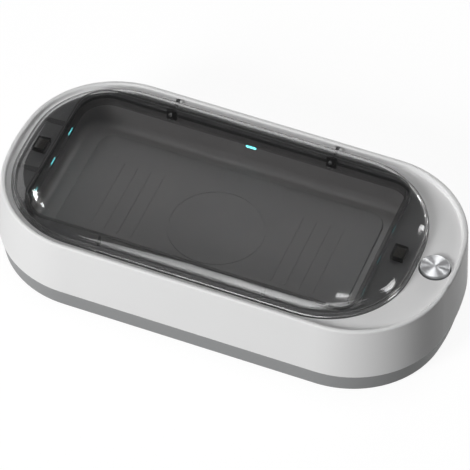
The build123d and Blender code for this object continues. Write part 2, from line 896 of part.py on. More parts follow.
# Smoked lid. The flank rises round the edge like a quarter ellipse, and the crown goes on from it.
def lid_rise(t):
    flank = flank_rise * sqrt(1 - (1 - min(t / flank_width, 1)) ** 2)
    crown = crown_rise * (1 - (1 - t / (flank_width + crown_width)) ** 2)
    return flank + crown


# Solid dome under the lid's outer skin, moved inwards and down by one wall thickness
def lid_dome(wall):
    steps = [flank_width * (1 - cos(radians(angle))) for angle in range(0, 91, flank_step)]
    steps += [flank_width + crown_width * share for share in crown_steps]
    return loft([lid_face(wall + t, edge_z - wall + lid_rise(t)) for t in steps], ruled=True)


def lid_solid():
    return lid_dome(0) + extrude(lid_face(0, lid_z), edge_z - lid_z)


def lid_hollow():
    hollow = lid_dome(lid_wall)
    return hollow & extrude(lid_face(0, lid_z), lid_top - lid_z)


def make_lid_cover(band):
    cover = lid_solid() - lid_hollow()
    ring = skirt_block(0, skirt_z, lid_top - lid_wall) - skirt_block(-skirt_wall, skirt_z, lid_top)
    down = extrude(lid_face(0, skirt_z), lid_z - skirt_z)
    cover += (ring + lid_ribs()) & (lid_solid() + down)
    for spot in arm_screw_spots:
        cover -= spot * post(0, 0, -arm_screw_length, 0, arm_screw_radius)
    return cover - band


# Two thin ribs stiffen the lid's left end, from its edge to the skirt.
def lid_ribs():
    skirt_left = chamber_x - skirt_length / 2
    rib = Box(skirt_left - lid_left, lid_rib_thickness, lid_top - lid_z)
    middle = Pos((lid_left + skirt_left) / 2, 0, (lid_z + lid_top) / 2)
    return copies(middle * rib, [Pos(0, side * lid_rib_spacing / 2, 0) for side in (-1, 1)])


# Thin dark band set in the lid's face above the skirt
def make_lid_band():
    ring = skirt_block(band_width, edge_z, lid_top) - skirt_block(0, edge_z, lid_top)
    dome = lid_solid()
    return (ring & dome) - Pos(0, 0, -band_depth) * dome


# Hinge arms reach from the lid's skirt through the deck to their pins.
def make_hinge_arm(x):
    half_foot = foot_width / 2
    half_arm = arm_width / 2
    foot_y = skirt_half_width + foot_thickness
    arm = block((x - half_foot, skirt_half_width, foot_low), (x + half_foot, foot_y, foot_top))
    arm += block((x - half_arm, foot_y, hinge_z - arm_drop), (x + half_arm, hinge_y, lid_z - slip))
    arm += rod_along_x(x, hinge_y, hinge_z, arm_width, knuckle_radius)
    arm -= rod_along_x(x, hinge_y, hinge_z, arm_width, pin_radius + running)
    for spot in arm_screw_spots:
        arm -= spot * post(0, 0, -arm_screw_length, 0, arm_screw_radius)
    return arm


def make_hinge_pins():
    pin = rod_along_x(0, hinge_y, hinge_z, pin_length, pin_radius)
    return copies(pin, [Pos(x, 0, 0) for x in hinge_xs])


def make_arm_screws():
    one = screw(arm_screw_radius, arm_screw_length, arm_screw_head, arm_screw_head_height)
    return copies(one, arm_screw_spots)


# Small tabs on the front of the skirt that drop into notches of the deck
def make_front_tabs():
    tabs = []
    for x in hinge_xs:
        half = tab_thickness / 2
        low = (x - half, -skirt_half_width - tab_reach, deck_z - tab_drop)
        tab = block(low, (x + half, -skirt_half_width, lid_top))
        upper = block((x - half, low[1], lid_z), (x + half, -skirt_half_width, lid_top))
        tabs.append(tab - (upper - lid_hollow()))
    return Compound(children=tabs)


def magnet_block(x, margin, low, high):
    half_x = magnet_length / 2 + margin
    half_y = magnet_width / 2 + margin
    return block((x - half_x, -half_y, low), (x + half_x, half_y, high))


def make_magnet_holders():
    hollow = lid_hollow()
    holders = []
    for x in magnet_xs:
        holder = magnet_block(x, magnet_holder_wall, lid_z, lid_top) & hollow
        holders.append(holder - magnet_block(x, 0, lid_z, lid_z + magnet_thickness))
    return Compound(children=holders)


def make_lid_magnets():
    return Compound(children=[magnet_block(x, 0, lid_z, lid_z + magnet_thickness) for x in magnet_xs])


band = make_lid_band()
parts = {
    "upper_case": make_upper_case(),
    "deck_plate": make_deck_plate(),
    "base_cover": make_base_cover(),
    "rubber_feet": make_rubber_feet(),
    "chamber_tray": make_chamber_tray(),
    "charging_mat": make_charging_mat(),
    "charging_coil": make_charging_coil(),
    "ferrite_plate": make_ferrite_plate(),
    "coil_holder": make_coil_holder(),
    "coil_screws": make_coil_screws(),
    "main_board": make_main_board(),
    "board_screws": make_board_screws(),
    "control_chips": make_control_chips(),
    "power_coils": make_power_coils(),
    "capacitors": make_capacitors(),
    "lead_sockets": make_lead_sockets(),
    "socket_shell": make_socket_shell(),
    "socket_tongue": make_socket_tongue(),
    "case_screws": make_case_screws(),
    "tray_screws": make_tray_screws(),
    "lamp_screws": make_lamp_screws(),
    "deck_magnets": make_deck_magnets(),
    "lid_sensor": make_lid_sensor(),
    "lid_buffers": make_lid_buffers(),
    "button_cap": make_button_cap(),
    "button_stem": make_button_stem(),
    "button_guide": make_button_guide(),
    "button_spring": make_button_spring(),
    "button_board": make_button_board(),
    "button_screws": make_button_screws(),
    "tact_switch": make_tact_switch(),
    "switch_plunger": make_switch_plunger(),
    "lid_cover": make_lid_cover(band),
    "lid_band": band,
    "left_hinge_arm": make_hinge_arm(hinge_xs[0]),
    "right_hinge_arm": make_hinge_arm(hinge_xs[1]),
    "hinge_pins": make_hinge_pins(),
    "arm_screws": make_arm_screws(),
    "front_tabs": make_front_tabs(),
    "magnet_holders": make_magnet_holders(),
    "lid_magnets": make_lid_magnets(),
}
for wall in lamp_walls:
    parts[wall + "_lenses"] = make_lenses(wall)
    parts[wall + "_leds"] = make_leds(wall)
    parts[wall + "_lamp_board"] = make_lamp_board(wall)

for name, shape in parts.items():
    export_step(shape, f"parts/{name}.step")
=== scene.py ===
import math

import bmesh
import bpy
from mathutils import Matrix, Quaternion, Vector


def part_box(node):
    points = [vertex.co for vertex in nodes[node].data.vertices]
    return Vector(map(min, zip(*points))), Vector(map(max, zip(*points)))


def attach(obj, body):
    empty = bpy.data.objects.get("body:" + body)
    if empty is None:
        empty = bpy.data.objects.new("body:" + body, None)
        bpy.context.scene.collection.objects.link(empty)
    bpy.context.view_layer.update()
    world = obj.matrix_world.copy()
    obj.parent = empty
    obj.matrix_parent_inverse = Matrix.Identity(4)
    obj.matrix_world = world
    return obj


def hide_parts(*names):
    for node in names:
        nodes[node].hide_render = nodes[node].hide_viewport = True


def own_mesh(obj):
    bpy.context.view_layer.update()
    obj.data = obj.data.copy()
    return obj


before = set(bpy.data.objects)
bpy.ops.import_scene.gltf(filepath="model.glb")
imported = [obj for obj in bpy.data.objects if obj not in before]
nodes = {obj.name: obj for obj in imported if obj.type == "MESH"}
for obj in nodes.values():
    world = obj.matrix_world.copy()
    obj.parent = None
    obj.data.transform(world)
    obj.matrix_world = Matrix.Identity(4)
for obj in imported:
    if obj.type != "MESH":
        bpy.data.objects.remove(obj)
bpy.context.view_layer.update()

mm = 0.001
bpy.context.scene.view_settings.view_transform = "Standard"


def srgb(hexText):  # an sRGB hex colour as linear red, green, blue and alpha
    parts = [int(hexText[i:i + 2], 16) / 255 for i in (1, 3, 5)]
    return (*[p / 12.92 if p <= 0.04045 else ((p + 0.055) / 1.055) ** 2.4 for p in parts], 1.0)


def addNode(tree, kind, settings=None, links=None):  # settings go to sockets or else to the node
    node = tree.nodes.new(kind)
    for key, value in (settings or {}).items():
        if isinstance(key, int) or key in node.inputs:
            node.inputs[key].default_value = value
        else:
            setattr(node, key, value)
    for key, source in (links or {}).items():
        tree.links.new(source, node.inputs[key])
    return node


def newSurface(name, settings):  # a material with its Principled shader set and wired to the output
    material = bpy.data.materials.new(name)
    material.use_nodes = True
    tree = material.node_tree
    tree.nodes.clear()
    shader = addNode(tree, "ShaderNodeBsdfPrincipled", settings)
    addNode(tree, "ShaderNodeOutputMaterial", None, {"Surface": shader.outputs["BSDF"]})
    coords = addNode(tree, "ShaderNodeTexCoord").outputs["Object"]
    return material, tree, shader, coords


def blendColours(tree, share, low, high):  # colour that goes from one hex to another with a 0 to 1 value
    ramp = addNode(tree, "ShaderNodeValToRGB", None, {"Fac": share})
    ramp.color_ramp.elements[0].color = srgb(low)
    ramp.color_ramp.elements[1].color = srgb(high)
    return ramp.outputs["Color"]


def spread(tree, value, low, high):  # a 0 to 1 value stretched to a range
    settings = {"To Min": low, "To Max": high}
    return addNode(tree, "ShaderNodeMapRange", settings, {"Value": value}).outputs["Result"]


def addBump(tree, shader, height, depthMm):  # bump of a known height
    bump = addNode(tree, "ShaderNodeBump", {"Strength": 1.0, "Distance": depthMm * mm}, {"Height": height})
    tree.links.new(bump.outputs["Normal"], shader.inputs["Normal"])


def noise(tree, coords, sizeMm, detail):  # soft random clouds of a given size
    settings = {"Scale": 1 / (sizeMm * mm), "Detail": detail}
    return addNode(tree, "ShaderNodeTexNoise", settings, {"Vector": coords}).outputs["Fac"]


def cells(tree, coords, sizeMm):  # distance to the middle of the nearest random cell
    settings = {"Scale": 1 / (sizeMm * mm)}
    return addNode(tree, "ShaderNodeTexVoronoi", settings, {"Vector": coords}).outputs["Distance"]


def mixShaders(tree, share, first, second):
    both = addNode(tree, "ShaderNodeMixShader", None, {"Fac": share})
    tree.links.new(first, both.inputs[1])
    tree.links.new(second, both.inputs[2])
    return both.outputs["Shader"]


def materialOutput(tree):
    return [node for node in tree.nodes if node.type == "OUTPUT_MATERIAL"][0]


def seenRay(tree):  # 1 where a ray from the camera, a mirror or a window looks, 0 for the light that falls
    path = addNode(tree, "ShaderNodeLightPath").outputs
    total = path["Is Camera Ray"]
    for kind in ("Is Glossy Ray", "Is Transmission Ray"):
        add = addNode(tree, "ShaderNodeMath", {"operation": "ADD", "use_clamp": True})
        tree.links.new(total, add.inputs[0])
        tree.links.new(path[kind], add.inputs[1])
        total = add.outputs["Value"]
    return total


def paint(material, *names):
    for name in names:
        target = nodes[name] if name in nodes else bpy.data.objects[name]
        target.data.materials.clear()
        target.data.materials.append(material)


print("materials: plastics")


# Moulded plastic keeps the tool's fine grain, with faint flow clouds where the melt met
def mouldedPlastic(name, look):
    material, tree, shader, coords = newSurface(name, {"IOR": look["ior"], "Roughness": look["rough"]})
    clouds = noise(tree, coords, look["cloudMm"], 3.0)
    grain = noise(tree, coords, look["grainMm"], 2.0)
    tree.links.new(blendColours(tree, clouds, look["shade"], look["colour"]), shader.inputs["Base Color"])
    sheen = spread(tree, clouds, look["rough"] - look["roughPlay"], look["rough"] + look["roughPlay"])
    tree.links.new(sheen, shader.inputs["Roughness"])
    addBump(tree, shader, grain, look["grainDeepMm"])
    return material


caseLook = {"colour": "#F1F1F1", "shade": "#EDEDED", "ior": 1.46, "rough": 0.42, "roughPlay": 0.04,
            "cloudMm": 38, "grainMm": 0.9, "grainDeepMm": 0.004}
baseLook = {"colour": "#979899", "shade": "#929394", "ior": 1.46, "rough": 0.5, "roughPlay": 0.05,
            "cloudMm": 30, "grainMm": 0.8, "grainDeepMm": 0.012}
trayLook = {"colour": "#848282", "shade": "#7E7C7C", "ior": 1.58, "rough": 0.42, "roughPlay": 0.05,
            "cloudMm": 26, "grainMm": 0.7, "grainDeepMm": 0.006}
# Dark plate under the lid, in its own colour; where the plate reaches past the lid's edge, its dark strip is
# painted shade for the gap by the rim
plateLook = {"colour": "#49494A", "shade": "#454546", "ior": 1.5, "rough": 0.42, "roughPlay": 0.04,
             "cloudMm": 22, "grainMm": 0.8, "grainDeepMm": 0.001}
blackLook = {"colour": "#1E1E1F", "shade": "#1A1A1B", "ior": 1.5, "rough": 0.45, "roughPlay": 0.05,
             "cloudMm": 8, "grainMm": 0.5, "grainDeepMm": 0.006}
housingLook = {"colour": "#E6DFCB", "shade": "#DED6C0", "ior": 1.53, "rough": 0.5, "roughPlay": 0.04,
               "cloudMm": 6, "grainMm": 0.4, "grainDeepMm": 0.005}
caseAbs = mouldedPlastic("white ABS, satin moulded", caseLook)
baseAbs = mouldedPlastic("grey ABS, spark-textured mould", baseLook)
trayPlastic = mouldedPlastic("dark polycarbonate blend, moulded", trayLook)
plateWithGapShade = mouldedPlastic("black polycarbonate, hard coated, with painted gap shade", plateLook)
blackAcetal = mouldedPlastic("black acetal, moulded", blackLook)
naturalNylon = mouldedPlastic("natural nylon, moulded", housingLook)


# Epoxy moulding compound is filled with glass grit, which leaves a matt, speckled face
def epoxyCompound():
    settings = {"IOR": 1.55, "Roughness": 0.62}
    material, tree, shader, coords = newSurface("black epoxy, transfer moulded", settings)
    grit = cells(tree, coords, 0.18)
    tree.links.new(blendColours(tree, grit, "#1C1C1E", "#29292B"), shader.inputs["Base Color"])
    addBump(tree, shader, grit, 0.006)
    return material


# Silicone rubber is matt, a little dusty, and soft-edged
def siliconeRubber(name, look):
    material, tree, shader, coords = newSurface(name, {"IOR": 1.41, "Roughness": look["rough"]})
    settings = {"Scale": 1 / (look["dustMm"] * mm), "Detail": 5.0, "Roughness": 0.6}
    dust = addNode(tree, "ShaderNodeTexNoise", settings, {"Vector": coords}).outputs["Fac"]
    grain = noise(tree, coords, 0.6, 2.0)
    tree.links.new(blendColours(tree, dust, look["shade"], look["colour"]), shader.inputs["Base Color"])
    sheen = spread(tree, dust, look["rough"] - 0.06, look["rough"] + 0.08)
    tree.links.new(sheen, shader.inputs["Roughness"])
    addBump(tree, shader, grain, 0.01)
    return material


matSilicone = siliconeRubber("dark silicone rubber, moulded", {
    "colour": "#7E7D7D", "shade": "#777676", "rough": 0.6, "dustMm": 9})
footRubber = siliconeRubber("black rubber, moulded", {
    "colour": "#2B2B2C", "shade": "#222223", "rough": 0.72, "dustMm": 5})
bufferSilicone = siliconeRubber("frosted silicone rubber", {
    "colour": "#D6D6D4", "shade": "#CBCBC9", "rough": 0.55, "dustMm": 2})

print("materials: metals")


# Plated or drawn metal: bright, with a faint crystalline mottle and a gloss that wear makes uneven
def platedMetal(name, look):
    material, tree, shader, coords = newSurface(name, {"Metallic": 1.0, "Roughness": look["rough"]})
    crystals = cells(tree, coords, look["crystalMm"])
    wear = noise(tree, coords, look["wearMm"], 4.0)
    tree.links.new(blendColours(tree, crystals, look["colour"], look["shade"]), shader.inputs["Base Color"])
    sheen = spread(tree, wear, look["rough"] - 0.08, look["rough"] + 0.1)
    tree.links.new(sheen, shader.inputs["Roughness"])
    addBump(tree, shader, wear, look["deepMm"])
    return material


zincSteel = platedMetal("zinc plated steel", {
    "colour": "#C3C5C8", "shade": "#AEB1B6", "rough": 0.32, "crystalMm": 0.3, "wearMm": 0.8, "deepMm": 0.004})
nickelSteel = platedMetal("nickel plated steel", {
    "colour": "#CFCBC3", "shade": "#BDB8AE", "rough": 0.22, "crystalMm": 0.5, "wearMm": 0.6, "deepMm": 0.002})
magnetNickel = platedMetal("nickel plated magnet, tumbled", {
    "colour": "#C9C6C0", "shade": "#B9B5AD", "rough": 0.5, "crystalMm": 0.4, "wearMm": 0.7, "deepMm": 0.003})
pinSteel = platedMetal("stainless steel, ground", {
    "colour": "#DADADA", "shade": "#C8C8C9", "rough": 0.2, "crystalMm": 0.3, "wearMm": 0.4, "deepMm": 0.001})
springSteel = platedMetal("spring wire, drawn", {
    "colour": "#9FA1A4", "shade": "#8A8C90", "rough": 0.3, "crystalMm": 0.2, "wearMm": 0.4, "deepMm": 0.002})
canAluminium = platedMetal("aluminium can, drawn", {
    "colour": "#D8D9DB", "shade": "#C6C8CB", "rough": 0.36, "crystalMm": 0.4, "wearMm": 1.2, "deepMm": 0.003})


# Enamelled copper wire: bright copper under an amber varnish, so it gets a coat
def enamelledCopper():
    settings = {"Metallic": 1.0, "Roughness": 0.28, "Coat Weight": 0.8, "Coat Roughness": 0.08}
    material, tree, shader, coords = newSurface("enamelled copper wire", settings)
    varnish = noise(tree, coords, 2.5, 3.0)
    tree.links.new(blendColours(tree, varnish, "#B4602F", "#D98650"), shader.inputs["Base Color"])
    return material


# Pressed ferrite is a dull, near black ceramic with fine pores
def sinteredFerrite():
    settings = {"IOR": 1.9, "Roughness": 0.5}
    material, tree, shader, coords = newSurface("ferrite, pressed and sintered", settings)
    pores = cells(tree, coords, 0.35)
    tree.links.new(blendColours(tree, pores, "#2A2A2D", "#3A3A3D"), shader.inputs["Base Color"])
    addBump(tree, shader, pores, 0.01)
    return material


# Circuit board: coated glass-fibre laminate, with the copper tracks raised under the coat
def coatedLaminate(name, look):
    settings = {"IOR": 1.5, "Roughness": 0.34, "Coat Weight": 0.3, "Coat Roughness": 0.15}
    material, tree, shader, coords = newSurface(name, settings)
    tracks = addNode(tree, "ShaderNodeTexBrick", {
        "Scale": 1 / mm, "Mortar Size": look["gapMm"], "Brick Width": look["trackLongMm"],
        "Row Height": look["trackWideMm"], "Mortar Smooth": 0.1,
        "Color1": srgb(look["track"]), "Color2": srgb(look["trackAlso"]), "Mortar": srgb(look["bare"]),
    }, {"Vector": coords})
    tree.links.new(tracks.outputs["Color"], shader.inputs["Base Color"])
    height = addNode(tree, "ShaderNodeMath", {"operation": "SUBTRACT"})
    tree.links.new(noise(tree, coords, 1.5, 2.0), height.inputs[0])
    tree.links.new(tracks.outputs["Fac"], height.inputs[1])
    addBump(tree, shader, height.outputs["Value"], 0.03)
    return material


mainLaminate = coatedLaminate("green coated laminate", {
    "track": "#1F5C36", "trackAlso": "#256840", "bare": "#174A2A",
    "gapMm": 0.18, "trackLongMm": 7.0, "trackWideMm": 0.9})
lampLaminate = coatedLaminate("white coated laminate", {
    "track": "#E9E9E4", "trackAlso": "#EEEEEA", "bare": "#DADAD3",
    "gapMm": 0.2, "trackLongMm": 9.0, "trackWideMm": 1.8})


# Radians that Blender's wave texture goes through over one unit at scale 1
waveTurn = 20


# Turned aluminium: fine concentric rings from the lathe tool stretch every highlight into a spoke
def turnedAluminium(centre, look):
    settings = {"Metallic": 1.0, "Base Color": srgb(look["colour"]), "Roughness": look["rough"],
                "Anisotropic": look["aniso"], "Anisotropic Rotation": look["acrossRings"]}
    material, tree, shader, coords = newSurface("aluminium, face turned", settings)
    away = addNode(tree, "ShaderNodeMapping", {"Location": (-centre[0], -centre[1], 0)}, {"Vector": coords})
    rings = addNode(tree, "ShaderNodeTexWave", {
        "wave_type": "RINGS", "rings_direction": "Z", "Scale": 2 * math.pi / (look["ringMm"] * mm) / waveTurn,
        "Distortion": 0.0, "Detail": 0.0,
    }, {"Vector": away.outputs["Vector"]})
    around = addNode(tree, "ShaderNodeTangent", {"direction_type": "RADIAL", "axis": "Z"})
    tree.links.new(around.outputs["Tangent"], shader.inputs["Tangent"])
    groove = rings.outputs["Fac"]
    sheen = spread(tree, groove, look["rough"] - look["roughPlay"], look["rough"] + look["roughPlay"])
    tree.links.new(sheen, shader.inputs["Roughness"])
    addBump(tree, shader, groove, look["ringDeepMm"])
    return material


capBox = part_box("button_cap")
capCentre = [(capBox[0][i] + capBox[1][i]) / 2 for i in range(3)]
capLook = {"colour": "#CBCCCE", "rough": 0.31, "roughPlay": 0.02, "aniso": 0.95, "acrossRings": 0.25,
           "ringMm": 0.16, "ringDeepMm": 0.0005}
capAluminium = turnedAluminium(capCentre, capLook)

print("materials: see-through")


# Clear smoked acrylic: polished, so it mirrors sharply, and lamps pass it with the smoke's tint
def smokedAcrylic(name, look):
    material, tree, shader, coords = newSurface(name, {
        "Base Color": srgb(look["tint"]), "IOR": 1.49, "Roughness": look["rough"], "Transmission Weight": 1.0,
    })
    path = addNode(tree, "ShaderNodeLightPath")
    clear = addNode(tree, "ShaderNodeBsdfTransparent", {"Color": srgb(look["lampTint"])})
    both = mixShaders(tree, path.outputs["Is Shadow Ray"], shader.outputs["BSDF"], clear.outputs["BSDF"])
    output = materialOutput(tree)
    tree.links.new(both, output.inputs["Surface"])
    sheen = spread(tree, noise(tree, coords, 14, 2.0), look["rough"], look["rough"] + 0.02)
    tree.links.new(sheen, shader.inputs["Roughness"])
    smoke = {"Color": srgb(look["smoke"]), "Density": look["perMetre"]}
    depth = addNode(tree, "ShaderNodeVolumeAbsorption", smoke)
    tree.links.new(depth.outputs["Volume"], output.inputs["Volume"])
    return material


lidLook = {"tint": "#F4F4F4", "lampTint": "#EEEEEE", "rough": 0.02, "smoke": "#1A1A1A", "perMetre": 115.0}
lidAcrylic = smokedAcrylic("smoked acrylic, polished", lidLook)


# A wall too thin to bend what lies behind it: a clear film whose gloss grows towards a flat view
def thinAcrylic(look):
    material, tree, shader, _ = newSurface("smoked acrylic, thin wall", {
        "Base Color": srgb("#101010"), "IOR": 1.49, "Roughness": 0.03,
    })
    facing = addNode(tree, "ShaderNodeLayerWeight", {"Blend": 0.5})
    steep = addNode(tree, "ShaderNodeMath", {"operation": "POWER", 1: 5.0}, {0: facing.outputs["Facing"]})
    share = spread(tree, steep.outputs["Value"], look["film"], 1.0)
    clear = addNode(tree, "ShaderNodeBsdfTransparent", {"Color": srgb(look["tint"])})
    both = mixShaders(tree, share, clear.outputs["BSDF"], shader.outputs["BSDF"])
    tree.links.new(both, materialOutput(tree).inputs["Surface"])
    return material


skirtAcrylic = thinAcrylic({"film": 0.05, "tint": "#EEEEEE"})
holderLook = {"tint": "#D0D0D0", "lampTint": "#C8C8C8", "rough": 0.04, "smoke": "#1A1A1A", "perMetre": 90.0}
holderAcrylic = smokedAcrylic("smoked acrylic, moulded", holderLook)


# Quartz window over a lamp: it passes the lamp's pale cyan glow
def glowingQuartz(look):
    material, tree, shader, coords = newSurface("fused quartz, fire polished", {
        "Base Color": srgb(look["colour"]), "IOR": 1.46, "Roughness": 0.12,
        "Emission Color": srgb(look["glow"]), "Emission Strength": look["strength"],
    })
    sheen = spread(tree, noise(tree, coords, 1.2, 1.0), 0.08, 0.2)
    tree.links.new(sheen, shader.inputs["Roughness"])
    return material


lampQuartz = glowingQuartz({"colour": "#BFEFF5", "glow": "#62E6EE", "strength": 3.0})


# Lamp package: white alumina with a fine, dry grain
def whiteAlumina():
    material, tree, shader, coords = newSurface("alumina ceramic, fired", {"IOR": 1.76, "Roughness": 0.5})
    grain = noise(tree, coords, 0.3, 3.0)
    tree.links.new(blendColours(tree, grain, "#E4E2DA", "#F1F0EA"), shader.inputs["Base Color"])
    addBump(tree, shader, grain, 0.004)
    return material


# Black inlay ink in the lid: dense and slightly glossy
def inlayInk():
    material, tree, shader, coords = newSurface("black inlay ink, cured", {"IOR": 1.5, "Roughness": 0.35})
    flow = noise(tree, coords, 3, 2.0)
    tree.links.new(blendColours(tree, flow, "#0C0C0C", "#141414"), shader.inputs["Base Color"])
    return material


paint(caseAbs, "upper_case")
paint(baseAbs, "base_cover")
paint(trayPlastic, "chamber_tray")
# the deck plate's dark strip past the lid's edge is painted gap shade
paint(plateWithGapShade, "deck_plate")
paint(matSilicone, "charging_mat")
paint(footRubber, "rubber_feet")
paint(bufferSilicone, "lid_buffers")
paint(blackAcetal, "coil_holder", "button_stem", "button_guide", "tact_switch", "left_hinge_arm",
      "right_hinge_arm", "front_tabs", "socket_tongue")
paint(naturalNylon, "lead_sockets", "switch_plunger")
paint(epoxyCompound(), "control_chips", "lid_sensor")
paint(zincSteel, "coil_screws", "board_screws", "case_screws", "tray_screws", "lamp_screws", "button_screws")
paint(nickelSteel, "socket_shell")
paint(magnetNickel, "deck_magnets", "lid_magnets")
paint(pinSteel, "hinge_pins", "arm_screws")
paint(springSteel, "button_spring")
paint(canAluminium, "capacitors")
paint(sinteredFerrite(), "ferrite_plate", "power_coils")
paint(mainLaminate, "main_board", "button_board")
paint(capAluminium, "button_cap")
paint(holderAcrylic, "magnet_holders")
copperWire = enamelledCopper()
paint(copperWire, "charging_coil")
ceramic = whiteAlumina()
lineInk = inlayInk()
for wall in ("left", "right", "rear", "front"):
    paint(lampQuartz, wall + "_lenses")
    paint(ceramic, wall + "_leds")
    paint(lampLaminate, wall + "_lamp_board")

print("lid")

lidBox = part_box("lid_cover")
lidPlan = {
    "middleX": (lidBox[0][0] + lidBox[1][0]) / 2, "halfX": (lidBox[1][0] - lidBox[0][0]) / 2,
    "halfY": (lidBox[1][1] - lidBox[0][1]) / 2, "corner": 42.4 * mm, "end": 195 * mm,
    "endSteps": 28, "cornerSteps": 22, "sideSteps": 30,
}
lidForm = {
    "top": lidBox[1][2], "wall": 1.8 * mm, "edge": 1.2 * mm, "flankWide": 6.0 * mm, "flankRise": 3.1 * mm,
    "crownWide": 28.0 * mm, "crownRise": 0.9 * mm, "lipRound": 0.3 * mm,
    "flankSteps": 16, "crownSteps": 12, "innerFlank": 0.9, "innerCrown": 0.1,
}


# Points round the lid's plan, drawn inset from its edge; the same count at every inset
def planRing(plan, inset):
    endX = plan["halfX"] - plan["end"]
    sideY = plan["halfY"] - plan["corner"]
    cornerX = endX + math.sqrt((plan["end"] - plan["corner"]) ** 2 - sideY ** 2)
    turn = math.atan2(sideY, cornerX - endX)
    quarter = []
    for i in range(plan["endSteps"] // 2):
        a = turn * i / (plan["endSteps"] // 2)
        quarter.append((endX + (plan["end"] - inset) * math.cos(a), (plan["end"] - inset) * math.sin(a)))
    for i in range(plan["cornerSteps"]):
        a = turn + (math.pi / 2 - turn) * i / plan["cornerSteps"]
        r = plan["corner"] - inset
        quarter.append((cornerX + r * math.cos(a), sideY + r * math.sin(a)))
    for i in range(plan["sideSteps"] // 2 + 1):
        quarter.append((cornerX * (1 - i / (plan["sideSteps"] // 2)), plan["halfY"] - inset))
    half = quarter + [(-x, y) for x, y in quarter[-2::-1]]
    ring = half + [(x, -y) for x, y in half[-2:0:-1]]
    return [(plan["middleX"] + x, y) for x, y in ring]


# How far a point lies inside the plan's edge
def insetOf(plan, x, y):
    x, y = abs(x - plan["middleX"]), abs(y)
    endX = plan["halfX"] - plan["end"]
    sideY = plan["halfY"] - plan["corner"]
    cornerX = endX + math.sqrt((plan["end"] - plan["corner"]) ** 2 - sideY ** 2)
    turn = math.atan2(sideY, cornerX - endX)
    a = math.atan2(y - sideY, x - cornerX)
    if x <= cornerX and y >= sideY:
        return plan["halfY"] - y
    if y > sideY and a >= turn:
        return plan["corner"] - math.hypot(x - cornerX, y - sideY)
    return min(plan["end"] - math.hypot(x - endX, y), plan["halfY"] - y)


# Height of the lid's skin above its edge line: a quarter ellipse, with a low crown going on from it.
# thinner is 0 on the outer skin and the wall on the inner one, whose flank and crown are narrower
def lidRise(t, thinner=0.0):
    form = lidForm
    wide = form["flankWide"] - form["innerFlank"] * thinner
    share = min(max(t - thinner, 0) / wide, 1)
    flank = (form["flankRise"] - thinner) * math.sqrt(1 - (1 - share) ** 2)
    reach = form["flankWide"] + form["crownWide"]
    return flank + form["crownRise"] * (1 - (1 - min(t / reach, 1)) ** 2)


edgeLine = lidForm["top"] - lidForm["flankRise"] - lidForm["crownRise"]
lidUnder = edgeLine - lidForm["edge"]


# Insets at which the lid's skin is drawn: close together at the edge, even over the crown
def lidSteps(thinner=0.0):
    form = lidForm
    wide = form["flankWide"] - form["innerFlank"] * thinner
    crown = form["crownWide"] - form["innerCrown"] * thinner
    count = form["flankSteps"]
    steps = [thinner + wide * (1 - math.cos(math.pi / 2 * i / count)) for i in range(count + 1)]
    return steps + [steps[-1] + crown * i / form["crownSteps"] for i in range(1, form["crownSteps"] + 1)]


def newPiece(name, verts, faces, material, body, slotName, smoothUnder=35):
    mesh = bpy.data.meshes.new(name)
    mesh.from_pydata(verts, [], faces)
    fill = bmesh.new()
    fill.from_mesh(mesh)
    bmesh.ops.recalc_face_normals(fill, faces=fill.faces)
    fill.to_mesh(mesh)
    fill.free()
    piece = bpy.data.objects.new(name, mesh)
    bpy.context.scene.collection.objects.link(piece)
    mesh.materials.append(material)
    if smoothUnder:
        mesh.shade_smooth()
        mesh.set_sharp_from_angle(angle=math.radians(smoothUnder))
    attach(piece, body)
    return piece


# Faces between rings of equal count, with the first and last rings closed flat or joined to each other
def ringFaces(rings, loop):
    n = len(rings[0])
    verts = [p for ring in rings for p in ring]
    faces = []
    for r in range(len(rings) if loop else len(rings) - 1):
        a, b = r * n, (r + 1) % len(rings) * n
        faces += [(a + i, a + (i + 1) % n, b + (i + 1) % n, b + i) for i in range(n)]
    if not loop:
        faces += [tuple(range(n))[::-1], tuple(range(len(verts) - n, len(verts)))]
    return verts, faces


def lidShell():
    form = lidForm
    profile = [(t, edgeLine + lidRise(t)) for t in lidSteps()][::-1]
    r = form["lipRound"]
    for a in (0, 30, 60, 90):  # small round at the outer lower edge
        c, s = math.cos(math.radians(a)), math.sin(math.radians(a))
        profile.append((r - r * c, lidUnder + r - r * s))
    for a in (90, 60, 30, 0):  # and at the inner one
        c, s = math.cos(math.radians(a)), math.sin(math.radians(a))
        profile.append((form["wall"] - r + r * c, lidUnder + r - r * s))
    for t in lidSteps(form["wall"]):
        profile.append((t, edgeLine + lidRise(t, form["wall"])))
    rings = [[(x, y, z) for x, y in planRing(lidPlan, inset)] for inset, z in profile]
    return ringFaces(rings, False)


# Rounded rectangle round the chamber's middle, evenly stepped, rounder at its left end
def roundedRing(middleX, halfX, halfY, corners, cornerSteps=14, sideSteps=40, endSteps=24):
    def quarter(corner):
        ring = [(halfX, (halfY - corner) * i / (endSteps // 2)) for i in range(endSteps // 2)]
        for i in range(cornerSteps):
            a = math.pi / 2 * i / cornerSteps
            ring.append((halfX - corner + corner * math.cos(a), halfY - corner + corner * math.sin(a)))
        count = sideSteps // 2
        return ring + [((halfX - corner) * (1 - i / count), halfY) for i in range(count + 1)]

    left, right = [quarter(corner) for corner in corners]
    half = right + [(-x, y) for x, y in left[-2::-1]]
    ring = half + [(x, -y) for x, y in half[-2:0:-1]]
    return [(middleX + x, y) for x, y in ring]


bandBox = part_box("lid_band")
skirtForm = {
    "middleX": (bandBox[0][0] + bandBox[1][0]) / 2, "bandWide": 0.9 * mm, "corners": (15.0 * mm, 10.5 * mm),
    "wall": 1.6 * mm, "low": lidBox[0][2], "footRound": 0.3 * mm, "footCut": 0.3, "seat": 0.03 * mm,
}
skirtForm["halfX"] = (bandBox[1][0] - bandBox[0][0]) / 2 - skirtForm["bandWide"]
skirtForm["halfY"] = (bandBox[1][1] - bandBox[0][1]) / 2 - skirtForm["bandWide"]


